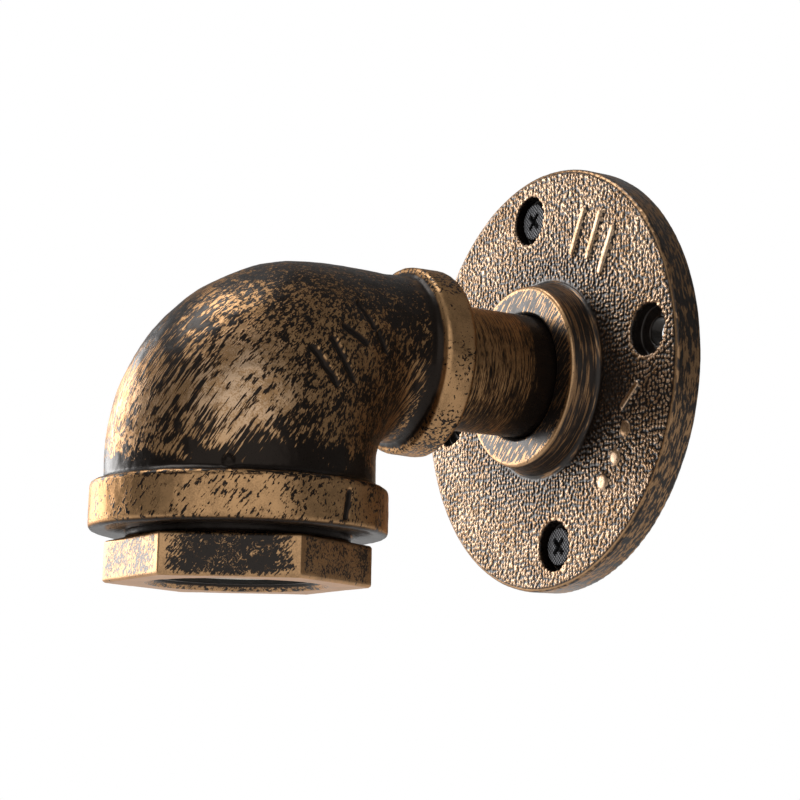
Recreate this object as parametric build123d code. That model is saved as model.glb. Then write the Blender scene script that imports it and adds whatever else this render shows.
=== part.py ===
from build123d import *
import os
from math import cos, radians, sin, sqrt

# Industrial pipe wall light. Millimetres. The wall is the plane Y = 0 and the
# origin is the centre of the wall flange's back face. The pipe runs out along
# -Y, and the elbow turns it down, so that the lamp hangs along -Z.

# ---- wall flange
FLANGE_DIAMETER = 86.0
FLANGE_THICKNESS = 5.8
FLANGE_EDGE_ROUND = 0.6
HUB_BASE_DIAMETER = 39.4
HUB_FACE_DIAMETER = 36.4
HUB_HEIGHT = 5.7
HUB_EDGE_ROUND = 0.5
HUB_ROOT_ROUND = 1.0
HUB_MOUTH_CHAMFER = 0.75
BACK_RECESS_DEPTH = 2.0
BACK_RIM_WIDTH = 2.8

# ---- fixing holes and their screws
HOLE_COUNT = 4
HOLE_INSET = 8.5
FIRST_HOLE_ANGLE = 97.6
HOLE_MOUTH_DIAMETER = 10.2
HOLE_FLOOR_THICKNESS = 1.1
WALL_SCREW_HOLE = 5.2
MACHINE_SCREW_HOLE = 4.4
HOLE_PAD_DIAMETER = 11.0
SCREW_HEAD_DIAMETER = 7.6
SCREW_HEAD_HEIGHT = 1.7
SCREW_SHANK_DIAMETER = 4.0
SCREW_HEAD_ROUND = 0.35
SCREW_END_SETBACK = 0.1
CROSS_WIDTH = 1.0
CROSS_LENGTH = 4.2
CROSS_DEPTH = 1.1
CROSS_TURN = 45.0

# ---- crossbar behind the flange
CROSSBAR_END_GAP = 1.7
CROSSBAR_WIDTH = 20.0
CROSSBAR_THICKNESS = 1.6
CROSSBAR_CENTRE_HOLE = 14.0
CROSSBAR_SLOT_LENGTH = 13.0
CROSSBAR_SLOT_WIDTH = 4.5
CROSSBAR_SLOT_OFFSET = 20.5

# ---- pipe nipple
PIPE_DIAMETER = 24.7
PIPE_WALL = 2.0
PIPE_SHOWING = 21.6
PIPE_IN_ELBOW = 14.0
PIPE_END_CHAMFER = 0.6

# ---- reducing elbow
LAMP_AXIS_REACH = 72.9
LARGE_BODY_DIAMETER = 49.4
SMALL_BODY_DIAMETER = 32.4
CROTCH_RADIUS = 6.2
BODY_WALL = 4.0
BEND_STEPS = 6
LARGE_BAND_DIAMETER = 54.3
LARGE_BAND_WIDTH = 8.85
LARGE_FACE_DROP = 36.3
SMALL_BAND_DIAMETER = 36.6
SMALL_BAND_WIDTH = 6.8
BAND_ROUND = 1.1
BAND_ROOT_ROUND = 0.9
BAND_ROOT_OVERLAP = 0.09
THREAD_MOUTH_CHAMFER = 0.8
THREAD_RUN_OUT = 0.5

# ---- hexagon bushing
HEX_ACROSS_CORNERS = 48.7
HEX_HEIGHT = 7.65
HEX_GAP = 1.35
HEX_EDGE_CHAMFER = 0.35
SPIGOT_DIAMETER = 40.8
SPIGOT_LENGTH = 22.6
BUSHING_BORE = 31.0
BUSHING_MOUTH_CHAMFER = 0.95
HOLDER_SEAT_HEIGHT = 21.3

# ---- lampholder
SLEEVE_WALL = 1.6
SLEEVE_RIM_RECESS = 1.2
COLLAR_DIAMETER = 35.8
COLLAR_THICKNESS = 2.5
SHELL_BORE = 26.7
SHELL_WALL = 0.35
SHELL_RIM_RECESS = 0.9
SHELL_THREAD_LENGTH = 16.0
SHELL_NECK_STEP = 0.8
SHELL_FLOOR_HOLE = 13.0
BASE_DISC_THICKNESS = 4.0
BLOCK_LENGTH = 28.0
BLOCK_WIDTH = 13.0
BLOCK_HEIGHT = 8.0
BLOCK_CORNER_ROUND = 2.0
BARRIER_OFFSET = 5.3
BARRIER_THICKNESS = 1.2
BARRIER_HEIGHT = 2.2
LOCK_RING_HEIGHT = 2.2
LOCK_RING_BORE = 31.6
LOCK_RING_NOTCH = 3.0

# ---- centre contact
NOSE_DIAMETER = 6.1
NOSE_PROJECTION = 3.0
NOSE_ROUND = 1.8
PLUNGER_FLANGE_DIAMETER = 8.3
PLUNGER_FLANGE_THICKNESS = 1.2
PLUNGER_STEM_DIAMETER = 3.4
PLUNGER_STEM_LENGTH = 3.6
POCKET_LIP = 1.2
SPRING_WIRE = 0.55
SPRING_OUTSIDE = 7.4
SPRING_TURNS = 5

# ---- terminals, rivets and inner leads
PLATE_THICKNESS = 0.8
LIVE_PLATE_WIDTH = 9.0
NEUTRAL_PLATE_LENGTH = 7.2
NEUTRAL_PLATE_FRONT = -6.4
NEUTRAL_PLATE_BACK = 4.5
LIVE_SCREW_OFFSET = 9.5
NEUTRAL_SCREW_OFFSET = 10.6
TERMINAL_SHIFT = 1.8
PLATE_EDGE = 2.9
TERMINAL_THREAD = 3.0
TERMINAL_HEAD_DIAMETER = 5.2
TERMINAL_HEAD_HEIGHT = 1.8
TERMINAL_SCREW_BITE = 5.0
TERMINAL_TIP_ROOM = 0.3
TERMINAL_SLOT_WIDTH = 0.8
TERMINAL_SLOT_DEPTH = 0.9
TERMINAL_SLOT_TURN = 30.0
WASHER_SIDE = 5.6
WASHER_THICKNESS = 0.7
RIVET_SHANK = 2.4
RIVET_HEAD = 4.2
RIVET_HEAD_HEIGHT = 0.6
SHELL_RIVET_RADIUS = 10.3
NEUTRAL_RIVET_OFFSET = 8.8
NEUTRAL_RIVET_SHIFT = -4.2
CONDUCTOR_DIAMETER = 1.2
LEAD_DIAMETER = 2.2
LEAD_BARE_OVERLAP = 0.4
LEAD_RUN_OUT = 7.0
LEAD_GATHER_OFFSET = 5.5
LEAD_GATHER_BEFORE = 5.5
LEAD_GATHER_Z = -3.6
LEAD_PIPE_OFFSET = 3.2
LEAD_GATHER_AFTER = 4.0
LEAD_PIPE_Z = -2.2
LEAD_END_SETBACK = 0.3
LEAD_BEND_SHARE = 0.45

# ---- clearances
RUNNING_CLEARANCE = 0.05
THREAD_CLEARANCE = 0.05
HOLDER_CLEARANCE = 0.1
LOOSE_CLEARANCE = 0.1

# ---- how far a cut runs past the face it opens, and how alike two radii are
CUT_OVERRUN = 1.0
SAME_RADIUS = 0.001

# ---- places that follow from the sizes above
flange_face = -FLANGE_THICKNESS
hub_face = flange_face - HUB_HEIGHT
hole_radius = FLANGE_DIAMETER / 2 - HOLE_INSET
hole_seat = -(BACK_RECESS_DEPTH + HOLE_FLOOR_THICKNESS)
recess_radius = FLANGE_DIAMETER / 2 - BACK_RIM_WIDTH
crossbar_length = 2 * (recess_radius - CROSSBAR_END_GAP)
pipe_radius = PIPE_DIAMETER / 2
pipe_start = -BACK_RECESS_DEPTH
small_face = hub_face - PIPE_SHOWING
pipe_end = small_face - PIPE_IN_ELBOW

lamp_y = -LAMP_AXIS_REACH
large_radius = LARGE_BODY_DIAMETER / 2
small_radius = SMALL_BODY_DIAMETER / 2
crotch_y = lamp_y + large_radius + CROTCH_RADIUS
crotch_z = -(small_radius + CROTCH_RADIUS)
heel_radius = small_radius - crotch_z
heel_y = lamp_y - large_radius + heel_radius
large_face = -LARGE_FACE_DROP
hex_top = large_face - HEX_GAP
hex_bottom = hex_top - HEX_HEIGHT
spigot_top = hex_top + SPIGOT_LENGTH
spigot_radius = SPIGOT_DIAMETER / 2
bore_radius = BUSHING_BORE / 2

seat_z = hex_bottom + HOLDER_SEAT_HEIGHT
base_z = seat_z + COLLAR_THICKNESS
disc_top = base_z + BASE_DISC_THICKNESS
block_top = disc_top + BLOCK_HEIGHT
ring_top = disc_top + LOCK_RING_HEIGHT
sleeve_radius = bore_radius - HOLDER_CLEARANCE
sleeve_bore = sleeve_radius - SLEEVE_WALL
sleeve_rim = hex_bottom + SLEEVE_RIM_RECESS
shell_inside = SHELL_BORE / 2
shell_outside = shell_inside + SHELL_WALL
neck_inside = shell_inside - SHELL_NECK_STEP
neck_outside = shell_outside - SHELL_NECK_STEP
shell_rim = sleeve_rim + SHELL_RIM_RECESS
neck_z = shell_rim + SHELL_THREAD_LENGTH
collar_radius = COLLAR_DIAMETER / 2
plate_top = block_top + PLATE_THICKNESS
wire_z = plate_top + CONDUCTOR_DIAMETER / 2
washer_z = plate_top + CONDUCTOR_DIAMETER
head_z = washer_z + WASHER_THICKNESS
nose_radius = NOSE_DIAMETER / 2
lip_top = base_z + POCKET_LIP
pocket_radius = PLUNGER_FLANGE_DIAMETER / 2 + LOOSE_CLEARANCE
spring_foot = lip_top + PLUNGER_FLANGE_THICKNESS


def along_y(radius, start, end, x=0.0, z=0.0):
    """Round bar parallel to the pipe, between two distances from the wall."""
    middle = (start + end) / 2
    bar = Cylinder(radius, abs(end - start))
    return Pos(x, middle, z) * Rot(90, 0, 0) * bar


def along_z(radius, bottom, top, x=0.0, y=0.0):
    """Round bar parallel to the lamp's axis, placed from that axis."""
    bar = Cylinder(radius, top - bottom)
    return Pos(x, lamp_y + y, (bottom + top) / 2) * bar


def standing_box(length, width, height):
    """Box that stands on the origin."""
    return Box(length, width, height, align=(Align.CENTER, Align.CENTER, Align.MIN))


def turned_about_pipe(points):
    """Solid turned about the pipe's axis from (radius, y) points."""
    outline = Polyline(*[(r, y, 0) for r, y in points], close=True)
    return revolve(make_face(outline), Axis.Y)


def turned_about_lamp(points):
    """Solid turned about the lamp's axis from (radius, z) points."""
    outline = Polyline(*[(r, 0, z) for r, z in points], close=True)
    return Pos(0, lamp_y, 0) * revolve(make_face(outline), Axis.Z)


def circles_of(body, radius):
    """The body's round edges of this radius."""
    circles = body.edges().filter_by(GeomType.CIRCLE)
    return [edge for edge in circles if abs(edge.radius - radius) < SAME_RADIUS]


def mouth_cone(hole, chamfer_width, face, inward):
    """Outline, from an axis, of the cut that chamfers a hole's mouth at a face."""
    outer = face - inward * CUT_OVERRUN
    floor = face + inward * chamfer_width
    return [(0, outer), (hole + chamfer_width + CUT_OVERRUN, outer), (hole, floor), (0, floor)]


def on_hole_circle(index):
    """Centre of one fixing hole, as X and Z."""
    angle = radians(FIRST_HOLE_ANGLE + index * 360 / HOLE_COUNT)
    return hole_radius * cos(angle), hole_radius * sin(angle)


def screw_places():
    """The two opposite holes that hold the machine screws."""
    return [on_hole_circle(0), on_hole_circle(HOLE_COUNT // 2)]


def free_places():
    """The holes left free for wall screws."""
    taken = screw_places()
    return [on_hole_circle(i) for i in range(HOLE_COUNT) if on_hole_circle(i) not in taken]


def cross_recess(depth, length, width):
    """Two crossed slots that open at Z = 0 and go down."""
    slot = Pos(0, 0, -depth / 2) * Box(length, width, depth)
    return slot + Rot(0, 0, 90) * slot


def rivet_places():
    """The two short rivets, then the long one that leads to the neutral plate."""
    return [
        (0, -SHELL_RIVET_RADIUS),
        (0, SHELL_RIVET_RADIUS),
        (NEUTRAL_RIVET_OFFSET, NEUTRAL_RIVET_SHIFT),
    ]


def wall_flange():
    rim_radius = FLANGE_DIAMETER / 2
    profile = [
        (0, 0),
        (rim_radius, 0),
        (rim_radius, flange_face),
        (HUB_BASE_DIAMETER / 2, flange_face),
        (HUB_FACE_DIAMETER / 2, hub_face),
        (0, hub_face),
    ]
    body = turned_about_pipe(profile)
    body = fillet(circles_of(body, rim_radius), FLANGE_EDGE_ROUND)
    body = fillet(circles_of(body, HUB_BASE_DIAMETER / 2), HUB_ROOT_ROUND)
    body = fillet(circles_of(body, HUB_FACE_DIAMETER / 2), HUB_EDGE_ROUND)
    body -= along_y(recess_radius, CUT_OVERRUN, -BACK_RECESS_DEPTH)
    hole = pipe_radius + RUNNING_CLEARANCE
    body -= along_y(hole, CUT_OVERRUN, hub_face - CUT_OVERRUN)
    body -= turned_about_pipe(mouth_cone(hole, HUB_MOUTH_CHAMFER, hub_face, 1))
    mouth_radius = HOLE_MOUTH_DIAMETER / 2
    mouth_start = flange_face - CUT_OVERRUN
    for x, z in free_places():
        body += along_y(HOLE_PAD_DIAMETER / 2, -BACK_RECESS_DEPTH, 0, x, z)
        body -= along_y(WALL_SCREW_HOLE / 2, flange_face, CUT_OVERRUN, x, z)
        body -= along_y(mouth_radius, mouth_start, hole_seat, x, z)
    for x, z in screw_places():
        body -= along_y(MACHINE_SCREW_HOLE / 2, flange_face, CUT_OVERRUN, x, z)
        body -= along_y(mouth_radius, mouth_start, hole_seat, x, z)
    return body


def flange_screw(x, z):
    head_outer = hole_seat - SCREW_HEAD_HEIGHT
    head = along_y(SCREW_HEAD_DIAMETER / 2, hole_seat, head_outer)
    front = head.edges().filter_by(GeomType.CIRCLE).sort_by(Axis.Y)[0]
    head = fillet(front, SCREW_HEAD_ROUND)
    shank = along_y(SCREW_SHANK_DIAMETER / 2, hole_seat, -SCREW_END_SETBACK)
    recess = cross_recess(CROSS_DEPTH, CROSS_LENGTH, CROSS_WIDTH)
    recess = Pos(0, head_outer, 0) * Rot(90, 0, 0) * Rot(0, 0, CROSS_TURN) * recess
    return Pos(x, 0, z) * (head + shank - recess)


def mounting_crossbar():
    bar = extrude(SlotOverall(crossbar_length, CROSSBAR_WIDTH), CROSSBAR_THICKNESS)
    bar -= Cylinder(CROSSBAR_CENTRE_HOLE / 2, 4 * CROSSBAR_THICKNESS)
    tapped = Cylinder(SCREW_SHANK_DIAMETER / 2 + THREAD_CLEARANCE, 4 * CROSSBAR_THICKNESS)
    slot_shape = SlotOverall(CROSSBAR_SLOT_LENGTH, CROSSBAR_SLOT_WIDTH)
    slot = extrude(slot_shape, 2 * CROSSBAR_THICKNESS, both=True)
    for side in (-1, 1):
        bar -= Pos(side * hole_radius, 0, 0) * tapped
        bar -= Pos(side * CROSSBAR_SLOT_OFFSET, 0, 0) * slot
    return Rot(0, -FIRST_HOLE_ANGLE, 0) * Rot(90, 0, 0) * bar


def pipe_nipple():
    body = along_y(pipe_radius, pipe_start, pipe_end)
    body = chamfer(body.edges().filter_by(GeomType.CIRCLE), PIPE_END_CHAMFER)
    way_through = along_y(pipe_radius - PIPE_WALL, pipe_start + CUT_OVERRUN, pipe_end - CUT_OVERRUN)
    return body - way_through


def bend_diameter(angle):
    """Width of the elbow's body along the ray at this angle from the crotch's centre.

    The heel is one arc, level with the crotch's centre, that runs into a straight top line."""
    inward = crotch_y - heel_y
    reach = inward * cos(angle) + sqrt(heel_radius**2 - (inward * sin(angle)) ** 2)
    if crotch_y - reach * cos(angle) > heel_y:
        reach = heel_radius / sin(angle)
    return reach - CROTCH_RADIUS


def ring_section(radius, y, z, angle):
    """Round section of the elbow, square to its run at this angle round the bend."""
    onward = (0, sin(angle), cos(angle))
    plane = Plane(origin=(0, y, z), x_dir=(1, 0, 0), z_dir=onward)
    return plane * Circle(radius)


def bend_part(wall, first, last):
    """The elbow's bend between two of its numbered sections."""
    sections = []
    for index in range(first, last + 1):
        angle = radians(90) * index / BEND_STEPS
        radius = bend_diameter(angle) / 2
        reach = CROTCH_RADIUS + radius
        y, z = crotch_y - reach * cos(angle), crotch_z + reach * sin(angle)
        sections.append(ring_section(radius - wall, y, z, angle))
    return loft(sections)


def bend(wall):
    """The elbow's whole bend, drawn in by a wall thickness."""
    middle = BEND_STEPS // 2
    return bend_part(wall, 0, middle) + bend_part(wall, middle, BEND_STEPS)


def band(radius, width, body_radius):
    """Rolled band of a fitting about Z: face at Z = 0, body side at Z = width.

    A short cone at its root runs down into the body."""
    upright = (Align.CENTER, Align.CENTER, Align.MIN)
    ring = Cylinder(radius, width, align=upright)
    ring = fillet(ring.edges().filter_by(GeomType.CIRCLE), BAND_ROUND)
    wide = body_radius + BAND_ROOT_ROUND
    narrow = body_radius - BAND_ROOT_ROUND
    cone = Cone(wide, narrow, wide - narrow, align=upright)
    return ring + Pos(0, 0, width - BAND_ROOT_OVERLAP) * cone


def reducing_elbow():
    body = bend(0)
    body += along_z(large_radius, large_face + BAND_ROUND, crotch_z)
    body += along_y(small_radius, crotch_y, small_face - BAND_ROUND)
    large_band = band(LARGE_BAND_DIAMETER / 2, LARGE_BAND_WIDTH, large_radius)
    body += Pos(0, lamp_y, large_face) * large_band
    small_band = band(SMALL_BAND_DIAMETER / 2, SMALL_BAND_WIDTH, small_radius)
    body += Pos(0, small_face, 0) * Rot(90, 0, 0) * small_band
    body -= bend(BODY_WALL)
    thread = spigot_radius + THREAD_CLEARANCE
    body -= along_z(thread, large_face - CUT_OVERRUN, spigot_top + THREAD_RUN_OUT)
    body -= turned_about_lamp(mouth_cone(thread, THREAD_MOUTH_CHAMFER, large_face, 1))
    pipe_hole = pipe_radius + THREAD_CLEARANCE
    pipe_hole_end = min(pipe_end - THREAD_RUN_OUT, crotch_y - CUT_OVERRUN)
    body -= along_y(pipe_hole, small_face + CUT_OVERRUN, pipe_hole_end)
    body -= turned_about_pipe(mouth_cone(pipe_hole, THREAD_MOUTH_CHAMFER, small_face, -1))
    return body


def hex_bushing():
    hexagon = RegularPolygon(HEX_ACROSS_CORNERS / 2, 6)
    head = Pos(0, lamp_y, hex_bottom) * extrude(hexagon, HEX_HEIGHT)
    rims = head.edges().filter_by(Axis.Z, reverse=True)
    head = chamfer(rims, HEX_EDGE_CHAMFER)
    body = head + along_z(spigot_radius, hex_top, spigot_top)
    top = body.edges().filter_by(GeomType.CIRCLE).sort_by(Axis.Z)[-1]
    body = chamfer(top, THREAD_MOUTH_CHAMFER)
    mouth = bore_radius + BUSHING_MOUTH_CHAMFER
    counterbore = collar_radius + HOLDER_CLEARANCE
    body -= turned_about_lamp(
        [
            (0, hex_bottom - CUT_OVERRUN),
            (mouth + CUT_OVERRUN, hex_bottom - CUT_OVERRUN),
            (bore_radius, hex_bottom + BUSHING_MOUTH_CHAMFER),
            (bore_radius, seat_z),
            (counterbore, seat_z),
            (counterbore, spigot_top + CUT_OVERRUN),
            (0, spigot_top + CUT_OVERRUN),
        ]
    )
    return body


def lampholder_sleeve():
    return turned_about_lamp(
        [
            (sleeve_bore, sleeve_rim),
            (sleeve_radius, sleeve_rim),
            (sleeve_radius, seat_z),
            (collar_radius, seat_z),
            (collar_radius, base_z),
            (sleeve_bore, base_z),
        ]
    )


def screw_shell():
    shell = turned_about_lamp(
        [
            (shell_inside, shell_rim),
            (shell_outside, shell_rim),
            (shell_outside, neck_z + SHELL_WALL),
            (neck_outside, neck_z + SHELL_WALL),
            (neck_outside, base_z),
            (SHELL_FLOOR_HOLE / 2, base_z),
            (SHELL_FLOOR_HOLE / 2, base_z - SHELL_WALL),
            (neck_inside, base_z - SHELL_WALL),
            (neck_inside, neck_z),
            (shell_inside, neck_z),
        ]
    )
    rivet_hole = RIVET_SHANK / 2 + LOOSE_CLEARANCE
    for x, y in rivet_places():
        shell -= along_z(rivet_hole, base_z - CUT_OVERRUN, base_z + CUT_OVERRUN, x, y)
    return shell


def lampholder_base():
    block = standing_box(BLOCK_LENGTH, BLOCK_WIDTH, BLOCK_HEIGHT)
    block = fillet(block.edges().filter_by(Axis.Z), BLOCK_CORNER_ROUND)
    barrier = standing_box(BARRIER_THICKNESS, BLOCK_WIDTH, BARRIER_HEIGHT)
    body = along_z(collar_radius, base_z, disc_top)
    body += Pos(0, lamp_y, disc_top) * block
    over_block = block_top + CUT_OVERRUN
    under_base = base_z - CUT_OVERRUN
    body -= along_z(nose_radius + RUNNING_CLEARANCE, under_base, block_top)
    body -= along_z(pocket_radius, lip_top, over_block)
    body += Pos(BARRIER_OFFSET, lamp_y, block_top) * barrier
    screw_hole = TERMINAL_THREAD / 2 + LOOSE_CLEARANCE
    hole_end = block_top - TERMINAL_SCREW_BITE - TERMINAL_TIP_ROOM
    for x in (-LIVE_SCREW_OFFSET, NEUTRAL_SCREW_OFFSET):
        body -= along_z(screw_hole, hole_end, over_block, x, TERMINAL_SHIFT)
    rivet_hole = RIVET_SHANK / 2 + LOOSE_CLEARANCE
    for y in (-SHELL_RIVET_RADIUS, SHELL_RIVET_RADIUS):
        body -= along_z(rivet_hole, under_base, disc_top + CUT_OVERRUN, 0, y)
    body -= along_z(rivet_hole, under_base, over_block, NEUTRAL_RIVET_OFFSET, NEUTRAL_RIVET_SHIFT)
    return body


def rivet(x, y, top):
    """Rivet from under the shell's floor to a head that sits on the height top."""
    floor = base_z - SHELL_WALL
    shank = along_z(RIVET_SHANK / 2, floor, top, x, y)
    lower = along_z(RIVET_HEAD / 2, floor - RIVET_HEAD_HEIGHT, floor, x, y)
    upper = along_z(RIVET_HEAD / 2, top, top + RIVET_HEAD_HEIGHT, x, y)
    return shank + lower + upper


def terminal_plate(left, right, front, back, holes):
    """Flat brass plate on top of the block, with a hole for each (radius, x, y)."""
    plate = standing_box(right - left, back - front, PLATE_THICKNESS)
    middle_y = lamp_y + (front + back) / 2
    plate = Pos((left + right) / 2, middle_y, block_top) * plate
    below = block_top - CUT_OVERRUN
    above = plate_top + CUT_OVERRUN
    for radius, x, y in holes:
        plate -= along_z(radius + LOOSE_CLEARANCE, below, above, x, y)
    return plate


def live_plate():
    half = LIVE_PLATE_WIDTH / 2
    right = BARRIER_OFFSET - BARRIER_THICKNESS / 2 - LOOSE_CLEARANCE
    hole = (TERMINAL_THREAD / 2, -LIVE_SCREW_OFFSET, TERMINAL_SHIFT)
    return terminal_plate(-LIVE_SCREW_OFFSET - PLATE_EDGE, right, -half, half, [hole])


def neutral_plate():
    left = BARRIER_OFFSET + BARRIER_THICKNESS / 2 + LOOSE_CLEARANCE
    holes = [
        (TERMINAL_THREAD / 2, NEUTRAL_SCREW_OFFSET, TERMINAL_SHIFT),
        (RIVET_SHANK / 2, NEUTRAL_RIVET_OFFSET, NEUTRAL_RIVET_SHIFT),
    ]
    right = left + NEUTRAL_PLATE_LENGTH
    return terminal_plate(left, right, NEUTRAL_PLATE_FRONT, NEUTRAL_PLATE_BACK, holes)


def terminal_screw(x):
    head_top = head_z + TERMINAL_HEAD_HEIGHT
    head = along_z(TERMINAL_HEAD_DIAMETER / 2, head_z, head_top, x, TERMINAL_SHIFT)
    tip = block_top - TERMINAL_SCREW_BITE
    shank = along_z(TERMINAL_THREAD / 2, tip, head_z, x, TERMINAL_SHIFT)
    slot = Box(TERMINAL_HEAD_DIAMETER + CUT_OVERRUN, TERMINAL_SLOT_WIDTH, TERMINAL_SLOT_DEPTH)
    slot = Rot(0, 0, TERMINAL_SLOT_TURN) * slot
    slot_z = head_top - TERMINAL_SLOT_DEPTH / 2
    return head + shank - Pos(x, lamp_y + TERMINAL_SHIFT, slot_z) * slot


def clamp_washer(x):
    plate = standing_box(WASHER_SIDE, WASHER_SIDE, WASHER_THICKNESS)
    plate = Pos(x, lamp_y + TERMINAL_SHIFT, washer_z) * plate
    hole = TERMINAL_THREAD / 2 + LOOSE_CLEARANCE
    below = washer_z - CUT_OVERRUN
    return plate - along_z(hole, below, head_z + CUT_OVERRUN, x, TERMINAL_SHIFT)


def holder_lock_ring():
    outer = collar_radius + HOLDER_CLEARANCE - THREAD_CLEARANCE
    inner = LOCK_RING_BORE / 2
    ring = turned_about_lamp(
        [(inner, disc_top), (outer, disc_top), (outer, ring_top), (inner, ring_top)]
    )
    notch = Box(2 * outer + CUT_OVERRUN, LOCK_RING_NOTCH, LOCK_RING_HEIGHT)
    return ring - Pos(0, lamp_y, ring_top) * notch


def contact_plunger():
    nose_tip = base_z - NOSE_PROJECTION
    nose = along_z(nose_radius, nose_tip, lip_top)
    tip = nose.edges().filter_by(GeomType.CIRCLE).sort_by(Axis.Z)[0]
    nose = fillet(tip, NOSE_ROUND)
    flange = along_z(PLUNGER_FLANGE_DIAMETER / 2, lip_top, spring_foot)
    stem = along_z(PLUNGER_STEM_DIAMETER / 2, spring_foot, spring_foot + PLUNGER_STEM_LENGTH)
    return nose + flange + stem


def contact_spring():
    wire_radius = SPRING_WIRE / 2
    coil_radius = SPRING_OUTSIDE / 2 - wire_radius
    bottom = spring_foot + wire_radius + RUNNING_CLEARANCE
    height = block_top - wire_radius - RUNNING_CLEARANCE - bottom
    path = Helix(pitch=height / SPRING_TURNS, height=height, radius=coil_radius)
    section = Plane(origin=path @ 0, z_dir=path % 0) * Circle(wire_radius)
    return Pos(0, lamp_y, bottom) * sweep(section, path=path, is_frenet=True)


def lead(points, wire_x):
    """Insulated lead along points, bared where its terminal clamps it."""
    radii = []
    for before, corner, after in zip(points, points[1:], points[2:]):
        first = Vector(*corner) - Vector(*before)
        second = Vector(*after) - Vector(*corner)
        turn = radians(first.get_angle(second))
        shorter = min(first.length, second.length)
        radii.append(LEAD_BEND_SHARE * shorter * cos(turn / 2) / sin(turn / 2))
    path = FilletPolyline(*points, radius=radii)
    section = Plane(origin=path @ 0, z_dir=path % 0) * Circle(LEAD_DIAMETER / 2)
    insulated = sweep(section, path=path)
    start_y = points[0][1]
    bare_from = lamp_y + TERMINAL_SHIFT - WASHER_SIDE / 2
    bare_to = start_y + LEAD_BARE_OVERLAP
    bare = along_y(CONDUCTOR_DIAMETER / 2, bare_from, bare_to, wire_x, wire_z)
    return insulated + bare


def lead_route(side, screw_offset):
    """From beside a terminal screw, over the bend's floor and along the pipe."""
    beside = TERMINAL_THREAD / 2 + LOOSE_CLEARANCE + CONDUCTOR_DIAMETER / 2
    wire_x = side * (screw_offset + beside)
    start_y = lamp_y + TERMINAL_SHIFT + WASHER_SIDE / 2 + LEAD_BARE_OVERLAP
    points = [
        (wire_x, start_y, wire_z),
        (wire_x, start_y + LEAD_RUN_OUT, wire_z),
        (side * LEAD_GATHER_OFFSET, pipe_end - LEAD_GATHER_BEFORE, LEAD_GATHER_Z),
        (side * LEAD_PIPE_OFFSET, pipe_end + LEAD_GATHER_AFTER, LEAD_PIPE_Z),
        (side * LEAD_PIPE_OFFSET, -LEAD_END_SETBACK, LEAD_PIPE_Z),
    ]
    return lead(points, wire_x)


def save(name, *solids):
    """Write one node: a single solid, or a group of separate ones."""
    shape = solids[0] if len(solids) == 1 else Compound(children=list(solids))
    export_step(shape, f"parts/{name}.step")


os.makedirs("parts", exist_ok=True)
terminal_offsets = (-LIVE_SCREW_OFFSET, NEUTRAL_SCREW_OFFSET)
rivets = rivet_places()
save("wall_flange", wall_flange())
save("flange_screws", *[flange_screw(x, z) for x, z in screw_places()])
save("mounting_crossbar", mounting_crossbar())
save("pipe_nipple", pipe_nipple())
save("reducing_elbow", reducing_elbow())
save("hex_bushing", hex_bushing())
save("lampholder_sleeve", lampholder_sleeve())
save("screw_shell", screw_shell())
save("lampholder_base", lampholder_base())
save("holder_lock_ring", holder_lock_ring())
save("shell_rivets", *[rivet(x, y, disc_top) for x, y in rivets[:2]])
save("neutral_rivet", rivet(*rivets[2], plate_top))
save("live_plate", live_plate())
save("neutral_plate", neutral_plate())
save("terminal_screws", *[terminal_screw(x) for x in terminal_offsets])
save("clamp_washers", *[clamp_washer(x) for x in terminal_offsets])
save("contact_plunger", contact_plunger())
save("contact_spring", contact_spring())
save("live_lead", lead_route(-1, LIVE_SCREW_OFFSET))
save("neutral_lead", lead_route(1, NEUTRAL_SCREW_OFFSET))
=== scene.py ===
"""Looks of the pipe wall light, laid out as an add-on and run as a script.

Sizes are metres in Blender. A finish or relief measures in millimetres, on the piece itself."""

from math import asin, atan2, cos, degrees, pi, radians, sin

import bmesh
import bpy
from bpy.props import FloatProperty, FloatVectorProperty, PointerProperty
from mathutils import Matrix, Vector


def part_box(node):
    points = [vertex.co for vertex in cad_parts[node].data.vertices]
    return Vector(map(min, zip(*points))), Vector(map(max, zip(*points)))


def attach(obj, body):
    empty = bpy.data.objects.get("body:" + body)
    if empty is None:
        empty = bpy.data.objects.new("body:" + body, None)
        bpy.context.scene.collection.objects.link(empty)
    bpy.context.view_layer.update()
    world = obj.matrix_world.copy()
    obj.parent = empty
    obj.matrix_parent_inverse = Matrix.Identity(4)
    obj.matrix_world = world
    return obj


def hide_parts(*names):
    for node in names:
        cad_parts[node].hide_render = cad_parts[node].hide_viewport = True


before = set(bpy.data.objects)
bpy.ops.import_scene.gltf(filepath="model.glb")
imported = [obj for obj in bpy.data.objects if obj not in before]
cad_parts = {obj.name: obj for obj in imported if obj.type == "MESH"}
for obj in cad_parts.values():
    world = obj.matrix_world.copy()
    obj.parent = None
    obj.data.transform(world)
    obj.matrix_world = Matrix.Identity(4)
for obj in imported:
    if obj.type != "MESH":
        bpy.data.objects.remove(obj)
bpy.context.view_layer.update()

bl_info = {
    "name": "Pipe wall light",
    "version": (1, 0, 0),
    "blender": (4, 5, 0),
    "location": "3D View > Sidebar > Pipe Light",
    "description": "Builds the looks of an industrial pipe wall light around its solids",
    "category": "Object",
}

MM = 0.001
ARM_MIDDLE = Vector((0.0, -0.05, 0.0))

# ---- boxes of the solids
LAMP_AXIS = sum(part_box("hex_bushing"), Vector()) / 2
ELBOW_LOW, ELBOW_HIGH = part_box("reducing_elbow")
FLANGE_LOW, FLANGE_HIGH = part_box("wall_flange")
SHELL_LOW, SHELL_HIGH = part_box("screw_shell")

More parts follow.
